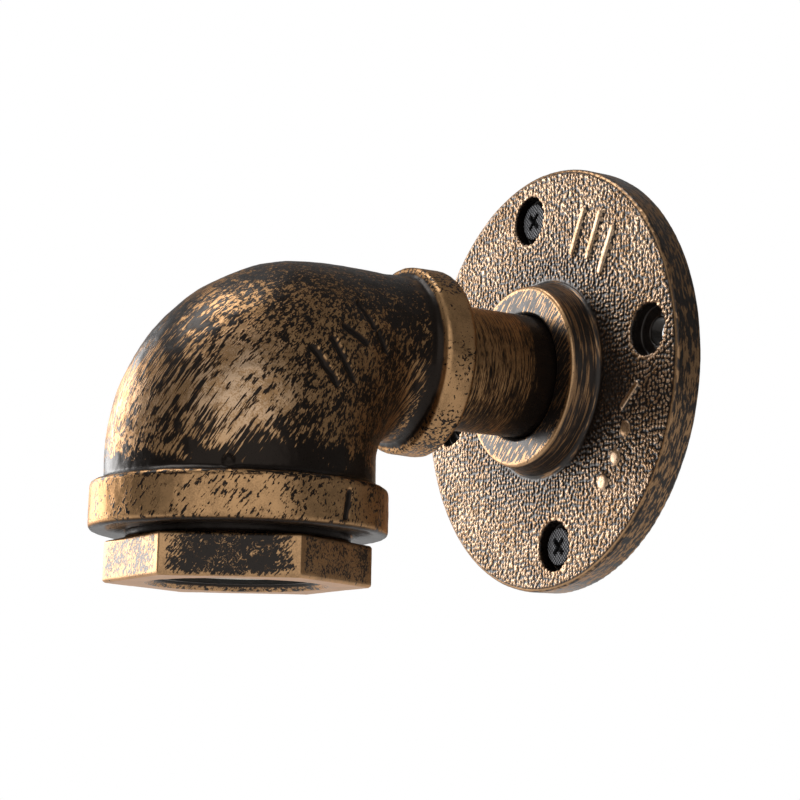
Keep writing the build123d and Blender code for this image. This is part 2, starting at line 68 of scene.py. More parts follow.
# ---- places on the castings, in millimetres, as their finishes and reliefs measure
HEX_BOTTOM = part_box("hex_bushing")[0].z / MM
HEX_TOP = HEX_BOTTOM + 7.65
MOUTH_RADIUS = 15.5
BAND_BOTTOM = ELBOW_LOW.z / MM
BAND_TOP = BAND_BOTTOM + 8.75
COLLAR_BACK = ELBOW_HIGH.y / MM
COLLAR_FRONT = COLLAR_BACK - 6.9
RIM_RADIUS = FLANGE_HIGH.x / MM - 0.5
FLANGE_FACE = -5.8
HUB_FACE = FLANGE_LOW.y / MM
HUB_RADIUS = 20.2
HUB_BORE = 12.9
HOLE_CIRCLE = 34.5
HOLE_MOUTH = 5.1
HOLE_TURN = 7.6
SCREW_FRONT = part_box("flange_screws")[0].y / MM


# ======== settings
class StageSettings(bpy.types.PropertyGroup):
    """Floor, backdrop, lamps and camera."""

    floor_drop: FloatProperty(
        name="Floor Drop", description="How far the floor is under the pipe's axis",
        default=0.13, unit="LENGTH")
    floor_size: FloatProperty(
        name="Floor Size", description="Side of the square floor", default=1.6, unit="LENGTH")
    floor_colour: FloatVectorProperty(
        name="Floor Colour", description="Paint of the floor",
        default=(0.82, 0.82, 0.82), subtype="COLOR")
    backdrop_colour: FloatVectorProperty(
        name="Backdrop Colour", description="Colour seen behind the light and in its metal",
        default=(1.0, 1.0, 1.0), subtype="COLOR")
    fill: FloatProperty(
        name="Fill", description="Strength of the light from all round", default=0.55, min=0.0)
    top_power: FloatProperty(
        name="Top Lamp", description="Power of the soft lamp overhead", default=5.0, unit="POWER")
    side_power: FloatProperty(
        name="Side Lamp", description="Power of the soft lamp on the left", default=5.0, unit="POWER")
    tent_colour: FloatVectorProperty(
        name="Tent Colour", description="Cloth round the light that only its metal reflects",
        default=(0.26, 0.26, 0.26), subtype="COLOR")
    focal_length: FloatProperty(
        name="Focal Length", description="Lens of the camera, in millimetres", default=84.87)
    camera_place: FloatVectorProperty(
        name="Camera Place", description="Where the camera stands",
        default=(0.30769, -0.22421, -0.07008), subtype="TRANSLATION", unit="LENGTH", precision=5)
    camera_turn: FloatVectorProperty(
        name="Camera Turn", description="Turn of the camera about X, Y and Z",
        default=(1.7427758, -0.0180781, 1.0263025), subtype="EULER", unit="ROTATION")


class MetalSettings(bpy.types.PropertyGroup):
    """Colours of the rubbed bronze and of the hardware."""

    gold: FloatVectorProperty(
        name="Rubbed Gold", description="Metal where the black is rubbed through",
        default=(0.48, 0.280, 0.132), subtype="COLOR")
    # paler gold painted as a highlight: on the lit lobes of the elbow, and as the whitish reflection
    # on the flange's face
    painted_highlight_gold: FloatVectorProperty(
        name="Painted Highlight Gold", description="Metal of the flange's face, painted brighter as a highlight",
        default=(0.60, 0.43, 0.29), subtype="COLOR")
    brown: FloatVectorProperty(
        name="Thin Coat", description="Brown where the black is rubbed thin",
        default=(0.105, 0.055, 0.025), subtype="COLOR")
    black: FloatVectorProperty(
        name="Black Coat", description="Black coat left in the hollows",
        default=(0.006, 0.004, 0.003), subtype="COLOR")
    coat_tint: FloatVectorProperty(
        name="Coat Tint", description="Tint of what the black coat reflects",
        default=(1.0, 0.76, 0.60), subtype="COLOR")
    screw_black: FloatVectorProperty(
        name="Screw Black", description="Black oxide of the flange screws",
        default=(0.035, 0.035, 0.037), subtype="COLOR")
    zinc: FloatVectorProperty(
        name="Zinc Plate", description="Plate of the crossbar and terminal screws",
        default=(0.66, 0.67, 0.68), subtype="COLOR")
    brass: FloatVectorProperty(
        name="Brass", description="Contacts and rivets",
        default=(0.74, 0.53, 0.22), subtype="COLOR")
    nickel: FloatVectorProperty(
        name="Nickel Plate", description="Screw shell", default=(0.70, 0.66, 0.58), subtype="COLOR")
    steel: FloatVectorProperty(
        name="Spring Steel", description="Wire of the contact's spring",
        default=(0.52, 0.52, 0.53), subtype="COLOR")
    roughness: FloatProperty(
        name="Bronze Roughness", description="Roughness of the bare gold", default=0.34)
    grain_depth: FloatProperty(
        name="Grain Depth", description="Depth of the fine grain in the bronze",
        default=0.00004, unit="LENGTH", precision=6)


class HolderSettings(bpy.types.PropertyGroup):
    """Colours of the lampholder's insulators and leads, and its rolled thread."""

    phenolic: FloatVectorProperty(
        name="Phenolic", description="Moulded sleeve of the lampholder",
        default=(0.012, 0.011, 0.010), subtype="COLOR")
    ceramic: FloatVectorProperty(
        name="Ceramic", description="Glazed base of the lampholder",
        default=(0.80, 0.78, 0.72), subtype="COLOR")
    live_colour: FloatVectorProperty(
        name="Live Lead", description="Covering of the live lead",
        default=(0.14, 0.055, 0.025), subtype="COLOR")
    neutral_colour: FloatVectorProperty(
        name="Neutral Lead", description="Covering of the neutral lead",
        default=(0.03, 0.11, 0.42), subtype="COLOR")
    thread_pitch: FloatProperty(
        name="Thread Pitch", description="Rise of the shell's rolled thread in one turn",
        default=0.00362, unit="LENGTH")
    thread_depth: FloatProperty(
        name="Thread Depth", description="Depth of the shell's rolled thread",
        default=0.00085, unit="LENGTH")
    thread_length: FloatProperty(
        name="Thread Length", description="Length of the shell's threaded part",
        default=0.016, unit="LENGTH")
    thread_end: FloatProperty(
        name="Thread End", description="Length over which the thread runs out at either end",
        default=0.0015, unit="LENGTH")
    shell_wall: FloatProperty(
        name="Shell Wall", description="Thickness of the shell's sheet",
        default=0.00035, unit="LENGTH")
    neck_step: FloatProperty(
        name="Neck Step", description="How far the shell steps in above its thread",
        default=0.0008, unit="LENGTH")
    floor_hole: FloatProperty(
        name="Floor Hole", description="Radius of the hole in the shell's floor",
        default=0.0065, unit="LENGTH")


class CastingSettings(bpy.types.PropertyGroup):
    """Skin of the castings."""

    flange_step: FloatProperty(
        name="Flange Mesh Step", description="Size of the faces of the flange's skin",
        default=0.00021, unit="LENGTH")
    elbow_step: FloatProperty(
        name="Elbow Mesh Step", description="Size of the faces of the elbow's skin",
        default=0.00032, unit="LENGTH")
    bushing_step: FloatProperty(
        name="Bushing Mesh Step", description="Size of the faces of the bushing's skin",
        default=0.00030, unit="LENGTH")
    screw_step: FloatProperty(
        name="Screw Mesh Step", description="Size of the faces of the screws' skin",
        default=0.00010, unit="LENGTH")
    pebble_pitch: FloatProperty(
        name="Pebble Pitch", description="Distance between the pebbles of the flange's face",
        default=0.00092, unit="LENGTH")
    pebble_height: FloatProperty(
        name="Pebble Height", description="Height of those pebbles",
        default=0.00024, unit="LENGTH")
    mark_height: FloatProperty(
        name="Mark Height", description="Height of the plain bars cast on the flange",
        default=0.00060, unit="LENGTH")
    stroke_depth: FloatProperty(
        name="Stroke Depth", description="Depth of the plain strokes in the elbow",
        default=0.00050, unit="LENGTH")
    knurl_pitch: FloatProperty(
        name="Knurl Pitch", description="Distance between the grooves of the screws' knurl",
        default=0.00085, unit="LENGTH")
    knurl_depth: FloatProperty(
        name="Knurl Depth", description="Depth of those grooves",
        default=0.00014, unit="LENGTH")


def settings(group):
    """One of the scene's property groups."""
    return getattr(bpy.context.scene, "pipe_light_" + group)


# ======== node trees
class Graph:
    """A finish's or a relief's node tree, built one node at a time."""

    def __init__(self, tree):
        self.tree = tree

    def node(self, kind, inputs=None, **options):
        made = self.tree.nodes.new(kind)
        for key, value in options.items():
            setattr(made, key, value)
        for key, value in (inputs or {}).items():
            self.feed(made.inputs[key], value)
        return made

    def feed(self, socket, value):
        if isinstance(value, bpy.types.NodeSocket):
            self.tree.links.new(value, socket)
        else:
            socket.default_value = value

    def math(self, operation, *values):
        made = self.node("ShaderNodeMath", operation=operation)
        for socket, value in zip(made.inputs, values):
            self.feed(socket, value)
        return made.outputs[0]

    def times(self, first, *others):
        for other in others:
            first = self.math("MULTIPLY", first, other)
        return first

    def plus(self, first, *others):
        for other in others:
            first = self.math("ADD", first, other)
        return first

    def less(self, first, second):
        return self.math("SUBTRACT", first, second)

    def either(self, first, *others):
        for other in others:
            first = self.math("MAXIMUM", first, other)
        return first

    def weigh(self, start, *terms):
        """A start value, plus each term times its weight."""
        for term, weight in terms:
            start = self.plus(start, self.times(term, weight))
        return start

    def swing(self, pattern, amount):
        """A noise pattern as a value that swings round 0."""
        return self.times(self.less(pattern, 0.5), amount)

    def off(self, value, *masks):
        """A value that is taken away where a mask is 1."""
        for mask in masks:
            value = self.times(value, self.less(1.0, mask))
        return value

    def pick(self, mask, inside, outside):
        """One value where the mask is 1, and another where it is 0."""
        return self.plus(self.times(inside, mask), self.off(outside, mask))

    def rise(self, value, low, high):
        """0 below low, 1 above high, and smooth between them."""
        inputs = {"Value": value, "From Min": low, "From Max": high}
        made = self.node("ShaderNodeMapRange", inputs, interpolation_type="SMOOTHSTEP")
        return made.outputs[0]

    def fall(self, value, low, high):
        """1 below low, 0 above high, and smooth between them."""
        return self.less(1.0, self.rise(value, low, high))

    def near(self, value, place, reach):
        """1 at a place, and 0 at its reach from there."""
        return self.fall(self.math("ABSOLUTE", self.less(value, place)), 0.0, reach)

    def vector(self, operation, first, second, output=0):
        made = self.node("ShaderNodeVectorMath", {0: first, 1: second}, operation=operation)
        return made.outputs[output]

    def scaled(self, place, factors):
        return self.vector("MULTIPLY", place, factors)

    def moved(self, place, shift):
        return self.vector("ADD", place, shift)

    def turned(self, vector, angles):
        turn = [radians(angle) for angle in angles]
        made = self.node("ShaderNodeVectorRotate", {"Vector": vector, "Rotation": turn},
                         rotation_type="EULER_XYZ")
        return made.outputs[0]

    def parts(self, vector):
        made = self.node("ShaderNodeSeparateXYZ", {0: vector})
        return made.outputs[0], made.outputs[1], made.outputs[2]

    def joined(self, x, y, z):
        return self.node("ShaderNodeCombineXYZ", {0: x, 1: y, 2: z}).outputs[0]

    def length(self, first, second):
        squares = self.plus(self.times(first, first), self.times(second, second))
        return self.math("SQRT", squares)

    def noise(self, vector, size, detail=2.0, roughness=0.55, warp=0.0):
        """Noise whose lumps are about this many millimetres wide."""
        inputs = {"Vector": vector, "Scale": 1.0 / size, "Detail": detail,
                  "Roughness": roughness, "Distortion": warp}
        return self.node("ShaderNodeTexNoise", inputs).outputs[0]

    def cells(self, across, up, size):
        """Distance on a plane from the middle of the nearest cell, in cells."""
        inputs = {"Vector": self.joined(across, up, 0.0), "Scale": 1.0 / size, "Randomness": 0.65}
        made = self.node("ShaderNodeTexVoronoi", inputs, voronoi_dimensions="2D")
        return made.outputs[0]

    def dot(self, place, direction):
        return self.vector("DOT_PRODUCT", place, direction, "Value")

    def strokes(self, place, direction, length, width, detail=2.0):
        """Noise drawn out along a direction, as long and as wide as this in millimetres."""
        along = Vector(direction).normalized()
        side = along.orthogonal().normalized()
        depth = along.cross(side)
        drawn = self.joined(
            self.times(self.dot(place, along), 1.0 / length),
            self.times(self.dot(place, side), 1.0 / width),
            self.times(self.dot(place, depth), 1.0 / width))
        return self.noise(drawn, 1.0, detail, 0.55)

    def covered(self, pattern, cover, contrast=2.2, edge=0.07):
        """Where a noise pattern shows, when it covers about this share of the surface."""
        level = self.plus(self.swing(pattern, contrast), self.swing(cover, 0.55))
        return self.rise(level, -edge, edge)

    def lobe(self, place, centre, near, far):
        """1 within the near distance of a point, and 0 past the far one."""
        return self.fall(self.vector("DISTANCE", place, centre, "Value"), near, far)

    def stripe(self, across, along, first, last, width):
        """1 on a line from first to last on a plane, and 0 past half its width."""
        start, end = Vector(first), Vector(last)
        run = end - start
        x, y = self.less(across, start.x), self.less(along, start.y)
        reached = self.plus(self.times(x, run.x), self.times(y, run.y))
        share = self.times(reached, 1.0 / run.length_squared)
        share = self.either(0.0, self.math("MINIMUM", share, 1.0))
        across_run = self.less(x, self.times(share, run.x))
        along_run = self.less(y, self.times(share, run.y))
        return self.fall(self.length(across_run, along_run), 0.15 * width, 0.5 * width)

    def blend(self, factor, first, second):
        inputs = {0: factor, 6: colour(first), 7: colour(second)}
        return self.node("ShaderNodeMix", inputs, data_type="RGBA").outputs[2]

    def between(self, factor, first, second):
        """A number that goes from first to second with the factor."""
        inputs = {"Value": factor, "To Min": first, "To Max": second}
        return self.node("ShaderNodeMapRange", inputs).outputs[0]


def colour(value):
    """A colour with its alpha, or a socket as it is."""
    if isinstance(value, bpy.types.NodeSocket):
        return value
    return (*value, 1.0)[:4]


def shade(base, share):
    """A colour made darker or paler."""
    return tuple(min(1.0, share * part) for part in base)


class Finish(Graph):
    """A material that measures in millimetres on the piece."""

    def __init__(self, name):
        self.material = bpy.data.materials.new(name)
        self.material.use_nodes = True
        super().__init__(self.material.node_tree)
        self.tree.nodes.clear()
        self.shader = self.node("ShaderNodeBsdfPrincipled")
        output = self.node("ShaderNodeOutputMaterial")
        self.feed(output.inputs["Surface"], self.shader.outputs[0])
        place = self.node("ShaderNodeTexCoord").outputs["Object"]
        self.place = self.scaled(place, (1 / MM, 1 / MM, 1 / MM))

    def set(self, **values):
        for key, value in values.items():
            socket = self.shader.inputs[key.replace("_", " ").title().replace("Ior", "IOR")]
            self.feed(socket, value)

    def bump(self, height, depth):
        """Fine grain that is too small for the mesh, its depth in millimetres."""
        inputs = {"Height": height, "Distance": depth * MM, "Strength": 1.0}
        self.feed(self.shader.inputs["Normal"], self.node("ShaderNodeBump", inputs).outputs[0])


def relief(piece, name, height_of):
    """Raise a mesh along its normals by height_of(graph, place), in millimetres."""
    tree = bpy.data.node_groups.new(name, "GeometryNodeTree")
    tree.interface.new_socket("Geometry", in_out="INPUT", socket_type="NodeSocketGeometry")
    tree.interface.new_socket("Geometry", in_out="OUTPUT", socket_type="NodeSocketGeometry")
    graph = Graph(tree)
    place = graph.scaled(graph.node("GeometryNodeInputPosition").outputs[0], (1 / MM,) * 3)
    height = graph.times(height_of(graph, place), MM)
    normal = graph.node("GeometryNodeInputNormal").outputs[0]
    offset = graph.node("ShaderNodeVectorMath", {0: normal, "Scale": height}, operation="SCALE")
    source = graph.node("NodeGroupInput").outputs[0]
    shifted = graph.node("GeometryNodeSetPosition", {"Geometry": source, "Offset": offset.outputs[0]})
    result = graph.node("NodeGroupOutput")
    graph.feed(result.inputs[0], shifted.outputs[0])
    piece.modifiers.new(name, "NODES").node_group = tree


# ======== meshes
def add_object(name, data):
    """A new object in the scene."""
    made = bpy.data.objects.new(name, data)
    bpy.context.scene.collection.objects.link(made)
    return made


def place_piece(name, mesh, body, material):
    """Add a finished mesh to the scene as a piece of one body."""
    mesh.name = name
    mesh.materials.clear()
    mesh.materials.append(material)
    piece = add_object(name, mesh)
    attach(piece, body)
    return piece


def mesh_from(bm, name):
    """A smooth mesh, whose faces all look outwards, from a finished bmesh."""
    bmesh.ops.recalc_face_normals(bm, faces=bm.faces)
    mesh = bpy.data.meshes.new(name)
    bm.to_mesh(mesh)
    bm.free()
    for face in mesh.polygons:
        face.use_smooth = True
    return mesh


def skinned(node, step, additions=(), passes=2):
    """A node's mesh, joined with closed additions, under one skin of even small faces."""
    bm = bmesh.new()
    bm.from_mesh(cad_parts[node].data)
    for addition in additions:
        bm.from_mesh(addition)
    mesh = bpy.data.meshes.new(node)
    bm.to_mesh(mesh)
    bm.free()
    holder = add_object("skin_work", mesh)
    skin = holder.modifiers.new("even faces", "REMESH")
    skin.mode = "VOXEL"
    skin.voxel_size = step
    ease = holder.modifiers.new("ease steps", "SMOOTH")
    ease.factor = 0.5
    ease.iterations = passes
    bpy.context.view_layer.update()
    ready = holder.evaluated_get(bpy.context.evaluated_depsgraph_get())
    result = bpy.data.meshes.new_from_object(ready)
    bpy.data.objects.remove(holder)
    for face in result.polygons:
        face.use_smooth = True
    return result


def bridge(bm, lower, upper):
    """Faces between two rings of as many points."""
    for index in range(len(lower)):
        onward = (index + 1) % len(lower)
        bm.faces.new((lower[index], lower[onward], upper[onward], upper[index]))


def rounded_bar(length, width, height, sink):
    """Low bar with round ends on the XZ plane that faces -Y and starts under it by sink."""
    bm = bmesh.new()
    radius = width / 2
    half = max(length / 2 - radius, 0.0)
    levels = ((1.0, sink), (1.0, -0.45 * height), (0.82, -0.85 * height), (0.5, -height))
    corners = 24
    rings = []
    for share, level in levels:
        ring = []
        for step in range(corners):
            angle = 2 * pi * (step + 0.5) / corners
            side = 1 if cos(angle) > 0 else -1
            x = side * half + share * radius * cos(angle)
            ring.append(bm.verts.new((x, level, share * radius * sin(angle))))
        rings.append(ring)
    for lower, upper in zip(rings, rings[1:]):
        bridge(bm, lower, upper)
    bm.faces.new(rings[0])
    bm.faces.new(rings[-1])
    return bm


# ======== finishes
def rubbed_bronze(finish, gold_share, sheen=0.0, painted_highlight=None):
    """Black coat rubbed through to gold: gold_share is 0 in the black and 1 on bare metal. The paler
    gold blended in by the last argument is a painted highlight.
    """
    metal = settings("metal")
    grain = finish.noise(finish.place, 0.30, 3.0, 0.6)
    cloud = finish.noise(finish.place, 4.0, 3.0, 0.6)
    thin = finish.blend(finish.rise(gold_share, 0.08, 0.60), metal.black, metal.brown)
    # painted highlight: the last argument blends the gold towards a paler gold
    gold = metal.gold if painted_highlight is None else finish.blend(painted_highlight, metal.gold, metal.painted_highlight_gold)
    bright = finish.rise(finish.plus(grain, finish.less(cloud, 0.5)), 0.35, 0.62)
    bare = finish.blend(bright, shade(metal.gold, 0.72), gold)
    rough = finish.between(gold_share, metal.roughness - 0.06, metal.roughness)
    finish.set(
        base_color=finish.blend(finish.rise(gold_share, 0.45, 1.0), thin, bare),
        metallic=finish.rise(gold_share, 0.1, 0.6),
        roughness=finish.plus(rough, finish.between(grain, -0.06, 0.08)),
        specular_ior_level=0.16,
        specular_tint=(*metal.coat_tint, 1.0),
        coat_weight=sheen, coat_roughness=0.30)
    height = finish.plus(finish.times(gold_share, -0.6), finish.times(grain, 0.4))
    finish.bump(height, metal.grain_depth / MM)


# ---- reducing elbow
# plain recessed strokes, each from and to (distance from the wall, height), in millimetres
ELBOW_STROKES = (
    ((-66.0, -11.0), (-70.6, -4.9)), ((-62.4, -9.4), (-66.4, -2.6)),
    ((-58.6, -2.2), (-63.2, 0.2)), ((-56.4, 1.4), (-58.8, 5.4)), ((-53.8, -2.6), (-55.2, -0.2)),
)
BAND_DASH = ((-65.2, -34.6), (-64.4, -30.2))
CASTING_NUB = (21.0, -85.5, -25.9)


def elbow_strokes(graph, place):
    """1 in the plain recessed strokes of the near cheek and the band, and 0 elsewhere."""
    x, y, z = graph.parts(place)
    along = graph.plus(y, graph.swing(graph.noise(place, 1.4), 1.2))
    lines = [graph.stripe(along, z, first, last, 2.1) for first, last in ELBOW_STROKES]
    cheek = graph.times(graph.either(*lines), graph.rise(x, 14.0, 15.5))
    dash = graph.times(graph.stripe(y, z, *BAND_DASH, 1.7), graph.rise(x, 22.0, 23.0))
    return graph.either(cheek, dash)


def elbow_height(graph, place):
    """Uneven cast skin with the strokes and one small nub."""
    broad = graph.swing(graph.noise(place, 9.0, 2.0), 0.45)
    close = graph.swing(graph.noise(place, 2.2, 2.0), 0.16)
    depth = settings("casting").stroke_depth / MM
    carved = graph.times(elbow_strokes(graph, place), -depth)
    nub = graph.times(graph.lobe(place, CASTING_NUB, 0.2, 1.5), 0.55)
    return graph.plus(broad, close, carved, nub)


def rub_marks(finish):
    """Strokes of the rubbing in three sizes, which rise towards the wall on both cheeks."""
    near_side = finish.rise(finish.parts(finish.place)[0], -3.0, 3.0)
    marks = []
    for length, width, weight in ((5.0, 0.26, 0.36), (10.0, 0.62, 0.34), (3.2, 0.70, 0.30)):
        near = finish.strokes(finish.place, (0.25, 0.48, 0.84), length, width)
        far = finish.strokes(finish.place, (-0.25, 0.48, 0.84), length, width)
        marks.append(finish.times(finish.pick(near_side, near, far), weight))
    return finish.plus(*marks)


def elbow_bend(finish, twin, worn_and_highlit, shoulder):
    """Gold of the bend, rubbed most where it is worn and least on its heel, crown and foot."""
    _, y, z = finish.parts(finish.place)
    patches = finish.noise(finish.moved(finish.place, (3.0, 0.0, 5.0)), 5.5, 3.0)
    cheek = finish.lobe(twin, (22.0, -66.0, -3.0), 4.0, 13.0)
    heel = finish.lobe(twin, (7.0, -91.0, 0.0), 4.0, 13.0)
    middle = finish.lobe(twin, (24.0, -76.0, -24.0), 4.0, 20.0)
    level = finish.plus(z, finish.swing(patches, 12.0), finish.times(middle, -3.0))
    foot = finish.fall(level, BAND_TOP + 0.05, BAND_TOP + 5.55)
    crown = finish.rise(finish.plus(z, finish.times(y, 0.35)), -26.0, -2.0)
    cover = finish.weigh(
        finish.plus(0.40, finish.swing(patches, 1.3)), (worn_and_highlit, 0.42), (shoulder, 0.28),
        (cheek, 0.16), (foot, -0.62), (crown, -0.26), (heel, -0.16))
    return finish.covered(rub_marks(finish), cover, 3.1, 0.14)


def large_band(finish, clusters):
    """Gold of the large band, flecked with black and dashed black along its top."""
    place = finish.place
    z = finish.parts(place)[2]
    flecks = finish.strokes(place, (0.38, 0.45, 0.80), 2.2, 0.45, 2.0)
    specks = finish.noise(place, 0.8, 3.0)
    pattern = finish.plus(finish.times(flecks, 0.65), finish.times(specks, 0.35))
    gold = finish.covered(pattern, finish.plus(0.84, finish.swing(clusters, 1.9)), 2.6, 0.10)
    dashes = finish.rise(finish.noise(finish.scaled(place, (0.45, 0.45, 1.6)), 0.9, 2.0), 0.50, 0.55)
    return finish.off(gold, finish.times(finish.near(z, BAND_TOP - 0.55, 0.8), dashes))


def small_band(finish, twin, clusters):
    """Gold of the small band, with black pits, and less gold towards its top and bottom as painted
    shade.
    """
    z = finish.parts(finish.place)[2]
    pits = finish.noise(finish.place, 0.62, 2.0)
    pitted = finish.lobe(twin, (18.2, -36.0, -3.5), 1.5, 7.0)
    # painted shade: less gold towards the top and the bottom of the band
    ends = finish.either(finish.rise(z, 8.0, 13.0), finish.fall(z, -14.0, -9.0))
    cover = finish.weigh(
        finish.plus(1.16, finish.swing(clusters, 0.9)), (pitted, -0.42), (ends, -0.55))
    return finish.covered(pits, cover, 1.9, 0.12)


def elbow_finish():
    """Rubbed bronze of the bend and its bands, with black left in the grooves beside them, and paler
    gold painted as a highlight on two lobes of the bend.
    """
    finish = Finish("rubbed_bronze_elbow")
    place = finish.place
    x, y, z = finish.parts(place)
    twin = finish.joined(finish.math("ABSOLUTE", x), y, z)
    worn_and_highlit = finish.lobe(twin, (20.8, -83.8, -12.5), 3.0, 15.0)
    shoulder = finish.lobe(twin, (4.9, -96.3, -14.0), 3.0, 13.0)
    clusters = finish.noise(finish.moved(place, (11.0, 0.0, 0.0)), 5.0, 2.0)
    on_large = finish.fall(z, BAND_TOP - 0.2, BAND_TOP + 0.2)
    on_small = finish.rise(y, COLLAR_FRONT - 0.2, COLLAR_FRONT + 0.2)
    ragged = finish.swing(finish.noise(place, 1.2, 3.0), 1.8)
    groove = finish.either(
        finish.fall(finish.plus(z, ragged), BAND_TOP + 0.95, BAND_TOP + 1.95),
        finish.rise(finish.plus(y, ragged), COLLAR_FRONT - 2.6, COLLAR_FRONT - 1.6))
    share = finish.either(
        finish.off(elbow_bend(finish, twin, worn_and_highlit, shoulder),
                   finish.either(on_large, on_small), groove),
        finish.times(large_band(finish, clusters), on_large),
        finish.times(small_band(finish, twin, clusters), on_small))
    under = finish.either(
        finish.fall(z, BAND_BOTTOM + 0.2, BAND_BOTTOM + 0.8),
        finish.rise(y, COLLAR_BACK - 0.2, COLLAR_BACK + 0.1))
    share = finish.off(share, elbow_strokes(finish, place), finish.times(under, 0.85))
    # painted highlight: paler gold on the worn lobe and the shoulder, where the bend catches the
    # light
    painted_highlight = finish.times(finish.either(worn_and_highlit, shoulder), 0.75)
    rubbed_bronze(finish, share, sheen=0.12, painted_highlight=painted_highlight)
    return finish.material


# ---- hexagon bushing
def bushing_height(graph, place):
    """Uneven cast skin."""
    broad = graph.swing(graph.noise(place, 8.0, 2.0), 0.12)
    close = graph.swing(graph.noise(place, 1.6, 2.0), 0.05)
    return graph.plus(broad, close)


def hexagon_corner(finish, x, y):
    """1 along the hexagon's upright corners, and 0 on its flats."""
    reach = []
    for heading in (30, 90, 150):
        flat = (cos(radians(heading)), sin(radians(heading)), 0.0)
        reach.append(finish.math("ABSOLUTE", finish.dot(finish.joined(x, y, 0.0), flat)))
    largest = finish.either(*reach)
    smallest = finish.math("MINIMUM", finish.math("MINIMUM", reach[0], reach[1]), reach[2])
    second = finish.less(finish.less(finish.plus(*reach), largest), smallest)
    return finish.fall(finish.less(largest, second), 0.1, 1.9)


def hexagon_flat(finish, x, y, heading):
    """1 on the flat that faces this way, in degrees from +X, and 0 on the others."""
    angle = finish.math("ARCTAN2", y, x)
    return finish.rise(finish.near(angle, radians(heading), radians(26)), 0.0, 0.2)


def bushing_finish():
    """Rubbed bronze whose gold lies on corners, rims and underside, with fine branches."""
    finish = Finish("rubbed_bronze_bushing")
    place = finish.place
    x, y, z = finish.parts(finish.moved(place, (0.0, -LAMP_AXIS.y / MM, 0.0)))
    rim = finish.either(finish.fall(z, HEX_BOTTOM + 0.1, HEX_BOTTOM + 1.5),
                        finish.rise(z, HEX_TOP - 0.9, HEX_TOP - 0.1))
    ragged = finish.noise(place, 0.8, 4.0, 0.65)
    patches = finish.noise(place, 4.0, 2.0)
    scratches = finish.strokes(place, (0.55, 0.35, 0.75), 3.6, 0.30)
    front, right, left = [hexagon_flat(finish, x, y, heading) for heading in (-30, 30, -90)]
    cover = finish.weigh(
        finish.plus(0.42, finish.swing(patches, 0.8)), (front, -0.36), (right, 0.16),
        (left, 0.10), (hexagon_corner(finish, x, y), 0.95), (rim, 0.55))
    pattern = finish.plus(finish.times(ragged, 0.45), finish.times(scratches, 0.55))
    share = finish.covered(pattern, cover, 2.5, 0.10)
    strands = finish.noise(place, 2.6, 3.0, 0.6, 1.8)
    branches = finish.fall(finish.math("ABSOLUTE", finish.less(strands, 0.5)), 0.004, 0.022)
    share = finish.either(share, finish.times(branches, finish.rise(patches, 0.42, 0.55), 0.9))
    underside = finish.fall(z, HEX_BOTTOM + 0.12, HEX_BOTTOM + 0.35)
    share = finish.either(share, finish.times(underside, finish.rise(ragged, 0.30, 0.38)))
    radius = finish.length(x, y)
    chamfer = finish.times(finish.fall(radius, MOUTH_RADIUS + 1.0, MOUTH_RADIUS + 1.2),
                           finish.rise(ragged, 0.5, 0.56))
    inside = finish.fall(radius, MOUTH_RADIUS, MOUTH_RADIUS + 0.3)
    above = finish.rise(z, HEX_TOP + 0.1, HEX_TOP + 0.4)
    share = finish.off(share, finish.either(inside, above, chamfer))
    rubbed_bronze(finish, share, sheen=0.35)
    return finish.material


# ---- pipe nipple
def pipe_finish():
    """Bronze brushed round the pipe, black where the pipe enters the hub, and less gold on its lower
    half as painted shade.
    """
    finish = Finish("rubbed_bronze_pipe")
    place = finish.place
    _, y, z = finish.parts(place)
    brushed = finish.noise(finish.scaled(place, (0.040, 1.0, 0.040)), 0.40, 4.0, 0.65)
    fine = finish.noise(finish.scaled(place, (0.10, 1.0, 0.10)), 0.17, 2.0)
    patches = finish.noise(place, 5.0, 3.0)
    pattern = finish.plus(finish.times(brushed, 0.5), finish.times(fine, 0.5))
    # painted shade: less gold towards the underside of the pipe
    painted_shade = finish.fall(z, -11.0, 2.0)
    mouth = finish.rise(finish.plus(y, finish.swing(patches, 5.0)), HUB_FACE - 6.5, HUB_FACE - 2.0)
    cover = finish.weigh(
        finish.plus(0.66, finish.swing(patches, 0.6)), (painted_shade, -0.25), (mouth, -0.95))
    rubbed_bronze(finish, finish.times(finish.covered(pattern, cover, 2.2, 0.22), 0.84))
    return finish.material


# ---- wall flange
def flange_zones(graph, place):
    """Distance from the flange's axis, and 1 on its face, on its hub and on its rim."""
    x, y, z = graph.parts(place)
    radius = graph.length(x, z)
    front = graph.fall(y, FLANGE_FACE + 0.5, FLANGE_FACE + 0.9)
    face = graph.times(graph.rise(radius, HUB_RADIUS, HUB_RADIUS + 1.0),
                       graph.fall(radius, RIM_RADIUS - 0.6, RIM_RADIUS), front)
    hub = graph.times(graph.fall(radius, HUB_RADIUS - 0.3, HUB_RADIUS + 0.5), front)
    rim = graph.rise(radius, RIM_RADIUS - 0.2, RIM_RADIUS + 0.3)
    return radius, face, hub, rim


def hole_distance(graph, place):
    """Distance from the middle of the nearest fixing hole, which stand four square."""
    x, _, z = graph.parts(graph.turned(place, (0.0, HOLE_TURN, 0.0)))
    x, z = graph.math("ABSOLUTE", x), graph.math("ABSOLUTE", z)
    outward = graph.less(graph.either(x, z), HOLE_CIRCLE)
    return graph.length(outward, graph.math("MINIMUM", x, z))


